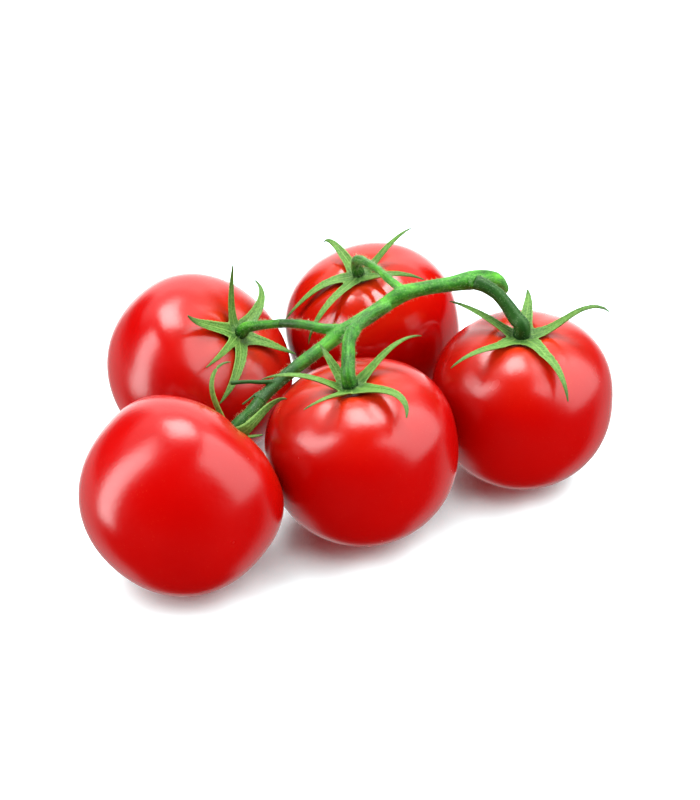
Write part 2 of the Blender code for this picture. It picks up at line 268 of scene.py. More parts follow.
class Nodes:
    """Places nodes in a tree from left to right and links them."""

    def __init__(self, tree):
        self.tree = tree
        self.count = 0

    def add(self, kind, **settings):
        node = self.tree.nodes.new("ShaderNode" + kind)
        node.location = (180 * self.count, -60 * (self.count % 5))
        self.count += 1
        for name, value in settings.items():
            setattr(node, name, value)
        return node

    def link(self, source, target):
        self.tree.links.new(source, target)

    def math(self, operation, a, b=None, clamp=False):
        node = self.add("Math", operation=operation, use_clamp=clamp)
        for socket, value in zip(node.inputs, (a, b)):
            if value is None:
                continue
            if isinstance(value, (int, float)):
                socket.default_value = value
            else:
                self.link(value, socket)
        return node.outputs[0]

    def mix(self, factor, a, b):
        node = self.add("Mix", data_type="RGBA", blend_type="MIX")
        for socket, value in ((node.inputs[0], factor), (node.inputs[6], a), (node.inputs[7], b)):
            if isinstance(value, tuple):
                socket.default_value = (*value, 1.0)
            elif isinstance(value, (int, float)):
                socket.default_value = value
            else:
                self.link(value, socket)
        return node.outputs[2]

    def ramp(self, value, *stops):
        """A colour ramp; each stop is (place, colour or grey level)."""
        node = self.add("ValToRGB")
        elements = node.color_ramp.elements
        while len(elements) < len(stops):
            elements.new(0.5)
        for element, (place, colour) in zip(elements, stops):
            element.position = place
            rgb = colour if isinstance(colour, tuple) else (colour,) * 3
            element.color = (*rgb, 1.0)
        self.link(value, node.inputs[0])
        return node.outputs[0]

    def noise(self, scale, detail=3.0, vector=None):
        node = self.add("TexNoise")
        node.inputs["Scale"].default_value = scale
        node.inputs["Detail"].default_value = detail
        node.inputs["Roughness"].default_value = NOISE_ROUGHNESS
        if vector is not None:
            self.link(vector, node.inputs["Vector"])
        return node.outputs["Fac"]

    def attribute(self, name):
        return self.add("Attribute", attribute_name=name).outputs["Fac"]


def new_group(name, inputs, outputs):
    """A shader node group with named inputs (name, kind, value) and outputs (name, kind)."""
    tree = bpy.data.node_groups.new(name, "ShaderNodeTree")
    for label, kind, value in inputs:
        socket = tree.interface.new_socket(label, in_out="INPUT", socket_type="NodeSocket" + kind)
        if value is not None:
            socket.default_value = value
    for label, kind in outputs:
        tree.interface.new_socket(label, in_out="OUTPUT", socket_type="NodeSocket" + kind)
    nodes = Nodes(tree)
    start = tree.nodes.new("NodeGroupInput")
    end = tree.nodes.new("NodeGroupOutput")
    return tree, nodes, start.outputs, end.inputs


def place_group(nodes, tree, **values):
    node = nodes.add("Group")
    node.node_tree = tree
    for label, value in values.items():
        socket = node.inputs[label.replace("_", " ")]
        if isinstance(value, bpy.types.NodeSocket):
            nodes.link(value, socket)
        else:
            socket.default_value = value
    return node.outputs


def new_material(name, **sockets):
    """A material and its nodes, with the values that are the same all over it."""
    material = bpy.data.materials.new(name)
    material.use_nodes = True
    nodes = Nodes(material.node_tree)
    shader = material.node_tree.nodes["Principled BSDF"]
    for label, value in sockets.items():
        shader.inputs[label.replace("_", " ")].default_value = value
    return material, nodes, shader


def blotches_group():
    """Soft blotches, as one value around a half."""
    inputs = (("Position", "Vector", None), ("Size", "Float", 100.0), ("Strength", "Float", 0.5))
    tree, nodes, start, end = new_group("blotches", inputs, (("Value", "Float"),))
    large = nodes.add("TexNoise")
    nodes.link(start["Position"], large.inputs["Vector"])
    nodes.link(start["Size"], large.inputs["Scale"])
    large.inputs["Detail"].default_value = 4.0
    spread = nodes.math("SUBTRACT", large.outputs["Fac"], 0.5)
    scaled = nodes.math("MULTIPLY", spread, start["Strength"])
    nodes.link(nodes.math("ADD", scaled, 0.5, clamp=True), end["Value"])
    return tree


def grain_group():
    """Fine grains, as a share that grows from nothing at Start to Strength at End."""
    inputs = (
        ("Position", "Vector", None),
        ("Size", "Float", 1500.0),
        ("Start", "Float", 0.4),
        ("End", "Float", 0.6),
        ("Strength", "Float", 0.5),
    )
    tree, nodes, start, end = new_group("grain", inputs, (("Value", "Float"),))
    fine = nodes.add("TexNoise")
    nodes.link(start["Position"], fine.inputs["Vector"])
    nodes.link(start["Size"], fine.inputs["Scale"])
    fine.inputs["Detail"].default_value = 1.0
    fine.inputs["Roughness"].default_value = NOISE_ROUGHNESS
    share = nodes.add("MapRange")
    nodes.link(fine.outputs["Fac"], share.inputs["Value"])
    for label, target in (("Start", "From Min"), ("End", "From Max"), ("Strength", "To Max")):
        nodes.link(start[label], share.inputs[target])
    nodes.link(share.outputs[0], end["Value"])
    return tree


# ---------------------------------------------------------------- materials

BLOTCHES = blotches_group()
GRAIN = grain_group()

# Base colours, as linear red, green and blue.
RIPE_DEEP = (0.33, 0.0, 0.0)
RIPE_RED = (0.39, 0.0005, 0.0)
SHOULDER_ORANGE = (0.58, 0.055, 0.008)
SHOULDER_RED = (0.46, 0.006, 0.0)
SPECK = (0.9, 0.22, 0.08)
LEAF_DARK = (0.030, 0.12, 0.010)
LEAF_GREEN = (0.11, 0.27, 0.035)
LEAF_GRAIN = (0.20, 0.40, 0.08)
LEAF_TIP_AND_SHADE = (0.010, 0.06, 0.006)
LEAF_RIB = (0.28, 0.46, 0.10)
STEM_DARK = (0.005, 0.050, 0.003)
STEM_GREEN = (0.024, 0.19, 0.008)
STEM_PALE = (0.11, 0.47, 0.028)
STEM_GRAIN = (0.15, 0.42, 0.06)
# The darkest green of the painted shade on the pedicels and the lower stalk.
STEM_SHADE_GREEN = (0.006, 0.050, 0.003)
# Painted shade where a pedicel meets its fruit.
STEM_SEAT_SHADE = (0.002, 0.022, 0.002)
STEM_HAIR = (0.45, 0.62, 0.33)
FLOOR_PALE = ((0.80, 0.93, 0.94), (0.82, 0.95, 0.96))
FLOOR_UNSEEN = (0.10, 0.11, 0.11)
GLOSSY = 0.12


def skin_material():
    """Glossy ripe skin: dark red, orange towards the stem, with the finest of pale specks."""
    material, nodes, shader = new_material("tomato_skin", Specular_IOR_Level=0.5)
    place = nodes.add("TexCoord").outputs["Object"]
    stem = nodes.attribute("stem")
    patches = place_group(nodes, BLOTCHES, Position=place, Size=28.0, Strength=1.2)["Value"]
    ripe = nodes.mix(patches, RIPE_DEEP, RIPE_RED)
    shoulder = nodes.ramp(stem, (0.0, SHOULDER_ORANGE), (1.0, SHOULDER_RED))
    near = nodes.ramp(stem, (0.0, 0.75), (0.55, 0.25), (1.0, 0.0))
    colour = nodes.mix(near, ripe, shoulder)
    cells = nodes.add("TexVoronoi")
    cells.inputs["Scale"].default_value = 900.0
    nodes.link(place, cells.inputs["Vector"])
    specks = nodes.ramp(cells.outputs["Distance"], (0.0, 1.0), (0.16, 0.0))
    where = nodes.ramp(nodes.noise(160.0, vector=place), (0.45, 0.0), (0.7, 0.22))
    sparse = nodes.math("MULTIPLY", specks, where)
    nodes.link(nodes.mix(sparse, colour, SPECK), shader.inputs["Base Color"])
    rough = nodes.ramp(nodes.noise(70.0, vector=place), (0.3, 0.20), (0.75, 0.28))
    rough = nodes.mix(nodes.attribute("gloss"), rough, (GLOSSY,) * 3)
    nodes.link(rough, shader.inputs["Roughness"])
    bump = nodes.add("Bump")
    bump.inputs["Strength"].default_value = 0.2
    bump.inputs["Distance"].default_value = 0.0002
    nodes.link(nodes.noise(600.0, detail=2.0, vector=place), bump.inputs["Height"])
    nodes.link(bump.outputs["Normal"], shader.inputs["Normal"])
    return material


def leaf_material():
    """Matt green of the sepals, with fine veins running along each blade, darker tips, and painted shade
    at their roots round the middle of the star.
    """
    material, nodes, shader = new_material("calyx_green", Specular_IOR_Level=0.35)
    place = nodes.add("TexCoord").outputs["Object"]
    along = nodes.attribute("along")
    across = nodes.attribute("across")
    patches = place_group(nodes, BLOTCHES, Position=place, Size=260.0, Strength=1.4)["Value"]
    green = nodes.mix(patches, LEAF_DARK, LEAF_GREEN)
    grain = {"Size": 1500.0, "Start": 0.42, "End": 0.62, "Strength": 0.55}
    grains = place_group(nodes, GRAIN, Position=place, **grain)["Value"]
    green = nodes.mix(grains, green, LEAF_GRAIN)
    # Darker towards each tip, the blade's own colour, and half-dark at its root, painted shade round the
    # middle of the star.
    tips_and_centre_shade = nodes.ramp(along, (0.0, 0.5), (0.2, 0.0), (0.7, 0.1), (1.0, 0.8))
    green = nodes.mix(tips_and_centre_shade, green, LEAF_TIP_AND_SHADE)
    side = nodes.math("ABSOLUTE", across)
    rib = nodes.ramp(side, (0.0, 0.35), (0.14, 0.0), (0.72, 0.0), (0.95, 0.6))
    nodes.link(nodes.mix(rib, green, LEAF_RIB), shader.inputs["Base Color"])
    veins = nodes.math("SINE", nodes.math("MULTIPLY", across, 16.0))
    bump = nodes.add("Bump")
    bump.inputs["Strength"].default_value = 0.35
    bump.inputs["Distance"].default_value = 0.0002
    nodes.link(nodes.math("ADD", veins, nodes.noise(900.0, vector=place)), bump.inputs["Height"])
    nodes.link(bump.outputs["Normal"], shader.inputs["Normal"])
    nodes.link(nodes.ramp(patches, (0.2, 0.46), (0.8, 0.62)), shader.inputs["Roughness"])
    return material


def stalk_material():
    """Downy green stem, streaked along its length, with painted shade: pedicels and the lower stalk
    darkened, and darker where it meets a fruit.
    """
    material, nodes, shader = new_material("stalk_green", Specular_IOR_Level=0.35)
    place = nodes.add("TexCoord").outputs["Object"]
    wrapped = nodes.add("CombineXYZ")
    for label, socket in zip(("turn_x", "turn_y", "length"), wrapped.inputs):
        nodes.link(nodes.attribute(label), socket)
    streaks = nodes.noise(2.4, detail=3.0, vector=wrapped.outputs[0])
    patches = place_group(nodes, BLOTCHES, Position=place, Size=190.0, Strength=0.9)["Value"]
    both = nodes.math("ADD", nodes.math("MULTIPLY", streaks, 0.55), nodes.math("MULTIPLY", patches, 0.7))
    green = nodes.ramp(both, (0.42, STEM_DARK), (0.62, STEM_GREEN), (0.84, STEM_PALE))
    grain = {"Size": 1700.0, "Start": 0.50, "End": 0.68, "Strength": 0.45}
    grains = place_group(nodes, GRAIN, Position=place, **grain)["Value"]
    green = nodes.mix(grains, green, STEM_GRAIN)
    # Painted shade: pedicels and the lower stalk pulled towards the darkest green.
    green = nodes.mix(nodes.attribute("deep"), green, STEM_SHADE_GREEN)
    # Painted shade where the pedicel sinks into its fruit's calyx.
    green = nodes.mix(nodes.attribute("seat"), green, STEM_SEAT_SHADE)
    green = nodes.mix(nodes.attribute("hair"), green, STEM_HAIR)
    nodes.link(green, shader.inputs["Base Color"])
    bump = nodes.add("Bump")
    bump.inputs["Strength"].default_value = 0.5
    bump.inputs["Distance"].default_value = 0.0003
    height = nodes.math("ADD", nodes.math("MULTIPLY", streaks, 0.5), nodes.noise(1300.0, vector=place))
    nodes.link(height, bump.inputs["Height"])
    nodes.link(bump.outputs["Normal"], shader.inputs["Normal"])
    nodes.link(nodes.ramp(patches, (0.2, 0.40), (0.8, 0.58)), shader.inputs["Roughness"])
    return material


# ---------------------------------------------------------------- mesh helpers


def new_piece(name, points, faces, material, values=None):
    """A smooth piece from points in metres, with named values stored at its points."""
    mesh = bpy.data.meshes.new(name)
    mesh.from_pydata([tuple(p) for p in points], [], faces)
    turn_outwards(mesh)
    piece = bpy.data.objects.new(name, mesh)
    bpy.context.collection.objects.link(piece)
    mesh.materials.append(material)
    mesh.shade_smooth()
    for label, numbers in (values or {}).items():
        store(mesh, label, numbers)
    return piece


def turn_outwards(mesh):
    shape = bmesh.new()
    shape.from_mesh(mesh)
    bmesh.ops.recalc_face_normals(shape, faces=shape.faces)
    shape.to_mesh(mesh)
    shape.free()


def store(mesh, label, numbers):
    attribute = mesh.attributes.new(label, "FLOAT", "POINT")
    attribute.data.foreach_set("value", np.asarray(numbers, np.float32))


def points_of(mesh):
    points = np.empty(len(mesh.vertices) * 3)
    mesh.vertices.foreach_get("co", points)
    return points.reshape(-1, 3)


def loft_faces(rings, sides, first=0):
    """Quads between rings of equally many points, closed by a fan round each end's middle."""
    faces = []
    for i in range(rings - 1):
        for j in range(sides):
            k = (j + 1) % sides
            a, b = first + i * sides, first + (i + 1) * sides
            faces.append((a + j, a + k, b + k, b + j))
    low, high = first + rings * sides, first + rings * sides + 1
    last = first + (rings - 1) * sides
    for j in range(sides):
        k = (j + 1) % sides
        faces.append((low, first + k, first + j))
        faces.append((high, last + j, last + k))
    return faces


def lofted(rings):
    """Points and faces of a closed loft through rings, each an array of points."""
    rings = np.asarray(rings)
    count, sides = rings.shape[:2]
    ends = np.array([rings[0].mean(0), rings[-1].mean(0)])
    return np.vstack([rings.reshape(-1, 3), ends]), loft_faces(count, sides)


def merged(parts):
    """One list of points and faces out of several."""
    points, faces, start = [], [], 0
    for part_points, part_faces in parts:
        points.append(part_points)
        faces += [tuple(start + i for i in face) for face in part_faces]
        start += len(part_points)
    return np.vstack(points), faces


def grown_together(points, faces, voxel):
    """The outer surface of overlapping closed shapes, as one even mesh."""
    mesh = bpy.data.meshes.new("shapes")
    mesh.from_pydata([tuple(p) for p in points], [], faces)
    turn_outwards(mesh)
    helper = bpy.data.objects.new("shapes", mesh)
    bpy.context.collection.objects.link(helper)
    remesh = helper.modifiers.new("remesh", "REMESH")
    remesh.mode = "VOXEL"
    remesh.voxel_size = voxel
    evaluated = helper.evaluated_get(bpy.context.evaluated_depsgraph_get())
    grown = bpy.data.meshes.new_from_object(evaluated)
    bpy.data.objects.remove(helper)
    whole = points_of(grown)
    polygons = [tuple(polygon.vertices) for polygon in grown.polygons]
    return whole, polygons


def smoothed(points, faces, weights, rounds):
    """Laplacian smoothing, strongest where the weights are one."""
    pairs = set()
    for face in faces:
        for a, b in zip(face, face[1:] + face[:1]):
            pairs.add((min(a, b), max(a, b)))
    pairs = np.array(sorted(pairs))
    counts = np.bincount(pairs.reshape(-1), minlength=len(points))[:, None]
    for _ in range(rounds):
        total = np.zeros_like(points)
        np.add.at(total, pairs[:, 0], points[pairs[:, 1]])
        np.add.at(total, pairs[:, 1], points[pairs[:, 0]])
        points = points + (total / counts - points) * 0.5 * weights[:, None]
    return points


def nearest(points, targets):
    """For each point, the number of its nearest target and the distance to it."""
    found = np.empty(len(points), int)
    apart = np.empty(len(points))
    for start in range(0, len(points), 4000):
        block = points[start : start + 4000]
        distance = ((block[:, None, :] - targets[None, :, :]) ** 2).sum(2)
        found[start : start + 4000] = distance.argmin(1)
        apart[start : start + 4000] = np.sqrt(distance.min(1))
    return found, apart


# ---------------------------------------------------------------- fruit


def fruit_turn(fruit):
    """The rotation from the fruit's own axes, with local X as near world X as it can be."""
    tilt = math.radians(fruit.tilt)
    heading = math.radians(fruit.heading)
    flat = math.sin(tilt)
    up = Vector((flat * math.cos(heading), flat * math.sin(heading), math.cos(tilt)))
    side = (Vector((1, 0, 0)) - up * up.x).normalized()
    return np.array(Matrix((side, up.cross(side), up)).transposed())


def angle_apart(a, b):
    return (a - b + 180.0) % 360.0 - 180.0


def skin_points(fruit, polar, azimuth, fine=0.0):
    """Points of the skin in the fruit's own axes; fine adds the small unevenness of real skin."""
    polar = np.asarray(polar, float)
    azimuth = np.asarray(azimuth, float)
    upper = polar < 90
    power = np.where(upper, SHOULDER_POWER, BASE_POWER)
    height = np.where(upper, fruit.top, fruit.bottom)
    across = np.sin(np.radians(polar))
    along = np.abs(np.cos(np.radians(polar))) / height
    radius = (across**power + along**power) ** (-1 / power)
    shoulder = np.exp(-(((polar - FURROW_CENTRE) / FURROW_REACH) ** 2))
    for where, depth in fruit.furrows:
        aside = angle_apart(azimuth, where) / FURROW_WIDTH
        radius = radius * (1 - depth * shoulder * np.exp(-(aside**2)))
    if fine:
        turn = np.radians(azimuth)
        waves = np.sin(3 * turn + fruit.heading) * 0.6 + np.sin(5 * turn + fruit.tilt) * 0.4
        radius = radius * (1 + fine * waves * across**2)
    radius = radius * fruit.radius * MM
    reach = radius * across
    rise = radius * np.cos(np.radians(polar))
    share = reach / (fruit.radius * MM * DISH_WIDTH)
    rise = rise - np.where(upper, DISH_DEPTH * fruit.radius * MM * np.exp(-(share**2)), 0.0)
    turn = np.radians(azimuth)
    return np.stack([reach * np.cos(turn), reach * np.sin(turn), rise], axis=-1)


def make_tomato(name, fruit, material):
    """A whole fruit, settled on the floor in the place of its CAD solid."""
    share = np.arange(1, FRUIT_RINGS + 1) / (FRUIT_RINGS + 1)
    turns = 360 * np.arange(FRUIT_SIDES) / FRUIT_SIDES
    polar, azimuth = np.meshgrid(180 * share, turns, indexing="ij")
    local, faces = lofted(skin_points(fruit, polar, azimuth, fine=SKIN_UNEVENNESS))
    local[-2] = skin_points(fruit, 0.01, 0.0)
    local[-1] = skin_points(fruit, 179.99, 0.0)
    turn = fruit_turn(fruit)
    world = local @ turn.T
    low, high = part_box("tomato_" + name)
    low, high = np.array(low), np.array(high)
    scale = (high - low)[0] / np.ptp(world[:, 0])
    world = world * scale
    middle = (world.max(0) + world.min(0)) / 2
    shift = (low + high) / 2 - middle
    world = world + shift
    below = world[:, 2] < 0
    world[below, 2] = 0.0
    polar = np.concatenate([share.repeat(FRUIT_SIDES) * 180, [0.0, 180.0]])
    gloss = np.full(len(world), 1.0 if name == SHELTERED else 0.0)
    values = {"stem": np.clip(polar / STEM_COLOUR_REACH, 0, 1), "gloss": gloss}
    piece = new_piece("tomato_" + name, world, faces, material, values)
    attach(piece, ROOT)
    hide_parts("tomato_" + name)
    return piece, (scale, turn, shift)


# ---------------------------------------------------------------- calyx


def hub_centre(fruit):
    return np.array([0, 0, (fruit.top - DISH_DEPTH) * fruit.radius * MM + HUB_HEIGHT])


def clear_of_skin(fruit, point):
    polar = math.degrees(math.acos(point[2] / np.linalg.norm(point)))
    azimuth = math.degrees(math.atan2(point[1], point[0]))
    least = np.linalg.norm(skin_points(fruit, polar, azimuth)) + SEPAL_CLEARANCE
    return point * max(1.0, least / np.linalg.norm(point))


def sepal_path(fruit, sepal):
    """The sepal's middle line from its root to its tip, in the fruit's own axes."""
    start = math.radians(sepal.azimuth)
    point = hub_centre(fruit) + np.array([math.cos(start), math.sin(start), 0]) * SEPAL_START
    path = [point]
    step = sepal.length * MM / (BLADE_SECTIONS - 1)
    for i in range(BLADE_SECTIONS - 1):
        share = (i + 0.5) / (BLADE_SECTIONS - 1)
        heading = math.radians(sepal.azimuth + sepal.swing * share**2)
        bow = sepal.arch * math.sin(math.pi * share)
        pitch = math.radians(sepal.rise + bow + sepal.curl * share**2)
        flat = math.cos(pitch)
        along = np.array([math.cos(heading) * flat, math.sin(heading) * flat, math.sin(pitch)])
        point = point + along * step
        path.append(point)
    return np.array(path[:1] + [clear_of_skin(fruit, point) for point in path[1:]])


def unit(vectors):
    return vectors / np.linalg.norm(vectors, axis=-1, keepdims=True)


def tangents(path):
    before = np.vstack([path[:1], path[:-1]])
    after = np.vstack([path[1:], path[-1:]])
    return unit(after - before)


def blade(fruit, sepal, twist):
    """One sepal: its rings, its middle line and the directions across it."""
    path = sepal_path(fruit, sepal)
    directions = tangents(path)
    rings, sides = [], []
    for i, (point, along) in enumerate(zip(path, directions)):
        share = i / (BLADE_SECTIONS - 1)
        side = unit(np.cross([0, 0, 1], along))
        face = np.cross(along, side)
        turn = math.radians(twist * share**1.5)
        cos, sin = math.cos(turn), math.sin(turn)
        side, face = side * cos + face * sin, face * cos - side * sin
        narrowing = 1 - (1 - SEPAL_TIP_WIDTH) * share**TAPER_POWER
        flare = 1.22 + 0.5 * math.exp(-((share / 0.16) ** 2))
        half = sepal.width * MM * narrowing * flare / 2
        thick = (0.95 - 0.4 * share) * MM * (1 if share < 0.97 else 0.7)
        v = np.linspace(-1, 1, BLADE_HALF_POINTS)
        cup = 0.28 * half * v**2 * math.sin(math.pi * min(1, share * 1.2 + 0.1))
        edge = np.sqrt(np.clip(1.15 - v**6, 0, 1)) * 0.5 * thick
        top = point + side * (half * v)[:, None] + face * (cup + edge)[:, None]
        under = point + side * (half * v)[:, None] + face * (cup - edge)[:, None]
        rings.append(np.vstack([top, under[::-1][1:-1]]))
        sides.append(side / half)
    return np.array(rings), path, np.array(sides)


def hub_rings(fruit):
    """The round middle of the star, with its rings at the heights and radii of the profile."""
    centre = hub_centre(fruit)
    rings = []
    for height, radius in HUB_PROFILE:
        turn = np.linspace(0, 2 * math.pi, HUB_SIDES, endpoint=False)
        ring = np.stack([np.cos(turn), np.sin(turn), np.zeros(HUB_SIDES)], axis=-1) * radius * MM
        rings.append(centre + ring + np.array([0, 0, height * MM]))
    return np.array(rings)


def make_calyx(name, fruit, placing, material):
    rng = random.Random(name)
    scale, turn, shift = placing
    parts = [lofted(hub_rings(fruit))]
    paths, sides, shares = [], [], []
    for sepal in fruit.sepals:
        rings, path, across = blade(fruit, sepal, rng.uniform(-BLADE_TWIST, BLADE_TWIST))
        parts.append(lofted(rings))
        paths.append(path)
        sides.append(across)
        shares.append(np.linspace(0, 1, BLADE_SECTIONS))
    points, faces = merged(parts)
    points, faces = grown_together(points, faces, CALYX_VOXEL)
    paths, sides, shares = np.vstack(paths), np.vstack(sides), np.concatenate(shares)
    points = smoothed(points, faces, np.ones(len(points)), BLADE_SMOOTHING)
    apart = np.linalg.norm(points - hub_centre(fruit), axis=1)
    points = smoothed(points, faces, np.exp(-((apart / WEB_REACH) ** 2)), WEB_SMOOTHING)
    found = nearest(points, paths)[0]
    across = ((points - paths[found]) * sides[found]).sum(1)
    values = {"along": shares[found], "across": across}
    world = points @ turn.T * scale + shift
    piece = new_piece("calyx_" + name, world, faces, material, values)
    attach(piece, ROOT)
    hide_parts("calyx_" + name)


# ---------------------------------------------------------------- stalk


def smooth_route(knots):
    """Closely spaced stations of a Catmull-Rom curve through the knots, as (x, y, z, radius)."""
    knots = np.asarray(knots)
    ends = np.vstack([2 * knots[0] - knots[1], knots, 2 * knots[-1] - knots[-2]])
    stations = []
    for i in range(len(knots) - 1):
        before, start, end, after = ends[i : i + 4]
        for share in np.arange(SPAN_STATIONS) / SPAN_STATIONS:
            bend = 2 * before - 5 * start + 4 * end - after
            twist = 3 * start - before - 3 * end + after
            curve = (end - before) * share + bend * share**2 + twist * share**3
            stations.append(start + curve / 2)
    return np.vstack(stations + [knots[-1]])


def in_metres(knots):
    return [tuple(value * MM for value in knot) for knot in knots]


def lengths_along(stations):
    spans = np.linalg.norm(np.diff(stations[:, :3], axis=0), axis=1)
    return np.concatenate([[0.0], np.cumsum(spans)])


def stretch(stations, start, end, step):
    """Evenly spaced stations from one length along a route to another."""
    lengths = lengths_along(stations)
    count = max(2, round((end - start) / step))
    where = np.linspace(start, end, count + 1)
    return np.stack([np.interp(where, lengths, stations[:, i]) for i in range(4)], axis=-1)


def frames_along(stations):
    """Two directions across the route at each station, turned along it without twisting."""
    directions = tangents(stations[:, :3])
    across = np.array(Vector(directions[0]).orthogonal().normalized())
    firsts = []
    for along in directions:
        across = unit(across - along * across.dot(along))
        firsts.append(across)
    firsts = np.array(firsts)
    return firsts, np.cross(directions, firsts)


def tube(stations, sides=STALK_SIDES, ribs=0.0):
    """Rings round a route, with five rounded ribs."""
    angle = 2 * math.pi * np.arange(sides) / sides
    rings = []
    for station, first, second in zip(stations, *frames_along(stations)):
        reach = station[3] * (1 + ribs * np.cos(5 * angle))
        ring = np.outer(np.cos(angle) * reach, first) + np.outer(np.sin(angle) * reach, second)
        rings.append(station[:3] + ring)
    return np.array(rings)


def round_end(stations):
    """The same stations, the first few drawn in to a rounded end."""
    lengths = lengths_along(stations)
    reach = stations[0, 3]
    share = np.clip(1 - lengths / reach, 0, 1)
    rounded = stations.copy()
    rounded[:, 3] *= np.sqrt(np.maximum(1 - share**2, 0.06))
    return rounded


def wrapping(points, stations):
    """How each point lies round its nearest station: two shares across it, and its length."""
    firsts, seconds = frames_along(stations)
    lengths = lengths_along(stations)
    found, _ = nearest(points, stations[:, :3])
    aside = points - stations[found, :3]
    turn_x = (aside * firsts[found]).sum(1) / stations[found, 3]
    turn_y = (aside * seconds[found]).sum(1) / stations[found, 3]
    return {"turn_x": turn_x, "turn_y": turn_y, "length": lengths[found] * STREAK_SQUEEZE}


def hairs_on(stations, rng):
    """Thin straight hairs standing on a stem, as closed three-sided spikes."""
    firsts, seconds = frames_along(stations)
    spans = np.linalg.norm(np.diff(stations[:, :3], axis=0), axis=1)
    parts = []
    for i, span in enumerate(spans):
        for _ in range(int(span / HAIR_SPACING)):
            share, turn = rng.random(), rng.uniform(0, 2 * math.pi)
            root = stations[i] * (1 - share) + stations[i + 1] * share
            out = firsts[i] * math.cos(turn) + seconds[i] * math.sin(turn)
            along = unit(stations[i + 1, :3] - stations[i, :3])
            lean = unit(out + along * rng.uniform(-0.5, 0.5))
            foot = root[:3] + out * (root[3] * 0.93)
            tip = foot + lean * rng.uniform(*HAIR_LENGTHS)
            aside = unit(np.cross(lean, along)) * HAIR_RADIUS
            other = np.cross(lean, unit(aside)) * HAIR_RADIUS
            back, wide = foot - aside / 2, other * 0.87
            parts.append((np.array([foot + aside, back + wide, back - wide, tip]), HAIR_FACES))
    return parts


def stem_seat(fruit, placing):
    scale, turn, shift = placing
    floor = hub_centre(fruit)[2] + HUB_THICKNESS / 2 + GAP
    seat = fruit.seat * MM
    knots = []
    for height, radius in ((SEAT_APPROACH, 0.86 * seat), (SEAT_NECK, seat), (0.0, seat)):
        point = turn @ np.array([0, 0, floor + height]) * scale + shift
        knots.append((*point, radius))
    return knots


def swell_at(stations, where):
    lengths = lengths_along(stations)
    near = np.exp(-(((lengths - where) / KNUCKLE_REACH) ** 2))
    swollen = stations.copy()
    swollen[:, 3] *= 1 + KNUCKLE_SWELLING * near
    return swollen


def stem_piece(name, points, faces, values, hairs, material):
    """A stem of the truss with its down, standing for the CAD node of that name."""
    count = len(points)
    points, faces = merged([(points, faces)] + hairs)
    more = len(points) - count
    values = {label: np.concatenate([numbers, np.zeros(more)]) for label, numbers in values.items()}
    values["hair"] = np.concatenate([np.zeros(count), np.ones(more)])
    piece = new_piece(name, points, faces, material, values)
    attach(piece, ROOT)
    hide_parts(name)


def make_stalk(placings, material):
    stubs = {}
    for name, knots in {"front_left": MAIN_ROUTE, **BRANCH_ROUTES}.items():
        rng = random.Random("hairs of " + name)
        stations = smooth_route(in_metres(knots) + stem_seat(FRUITS[name], placings[name]))
        total = lengths_along(stations)[-1]
        knuckle = total - PEDICEL_LENGTHS[name]
        stations = swell_at(stations, knuckle)
        stubs[name] = stretch(stations, 0.0, knuckle, STALK_STEP)
        pedicel = stretch(stations, knuckle, total + PEDICEL_SINK, STALK_STEP)
        points, faces = lofted(tube(pedicel, ribs=STEM_RIBS))
        lengths = lengths_along(pedicel)
        left = lengths[-1] - np.concatenate([lengths.repeat(STALK_SIDES), [0, 1]])
        # Painted shade: darker over the last stretch before the fruit.
        seat = np.clip(1 - left / SEAT_SHADE_REACH, 0, 1)
        # Painted shade: the pedicel's set share of darkening.
        deep = np.full(len(points), PEDICEL_PAINTED_SHADE[name])
        values = {"seat": seat, "deep": deep, **wrapping(points, pedicel)}
        stem_piece("pedicel_" + name, points, faces, values, hairs_on(pedicel, rng), material)
    stubs["front_left"] = round_end(stubs["front_left"])
    twigs = []
    for knots in TWIG_ROUTES:
        stations = smooth_route(in_metres(knots))
        twigs.append(stretch(stations, 0.0, lengths_along(stations)[-1], STALK_STEP))
    parts = [lofted(tube(stub, ribs=STEM_RIBS)) for stub in stubs.values()]
    parts += [lofted(tube(twig, TWIG_SIDES)) for twig in twigs]
    points, faces = merged(parts)
    points, faces = grown_together(points, faces, STALK_VOXEL)
    forks = np.array([stub[0, :3] for name, stub in stubs.items() if name != "front_left"])
    weights = np.exp(-((nearest(points, forks)[1] / FORK_REACH) ** 2))
    points = smoothed(points, faces, np.clip(weights * 1.2, 0.12, 1), 8)
    rng = random.Random("hairs of the stalk")
    hairs = []
    for stub in stubs.values():
        hairs += hairs_on(stub, rng)
    # Painted shade: the main stalk darker towards its left end.
    deep = STALK_PAINTED_SHADE * np.clip((-points[:, 0] - STALK_SHADE_FROM) / STALK_SHADE_FADE, 0, 1)
    values = {"seat": np.zeros(len(points)), "deep": deep}
    values.update(wrapping(points, np.vstack(list(stubs.values()) + twigs)))
    stem_piece("main_stalk", points, faces, values, hairs, material)


# ---------------------------------------------------------------- stage, lights and camera

LOOK_AT = Vector((-2.2, 5.2, 32.0)) * MM
CAMERA_DISTANCE = 0.7
CAMERA_ELEVATION = 34.0
LENS = 88.2
SHELTERED = "back_middle"
WINDOW_BAR = 0.14
FLOOR_SIDE = 40.0
FLOOR_SHELTER = 0.035
FLOOR_GLOW = 0.66

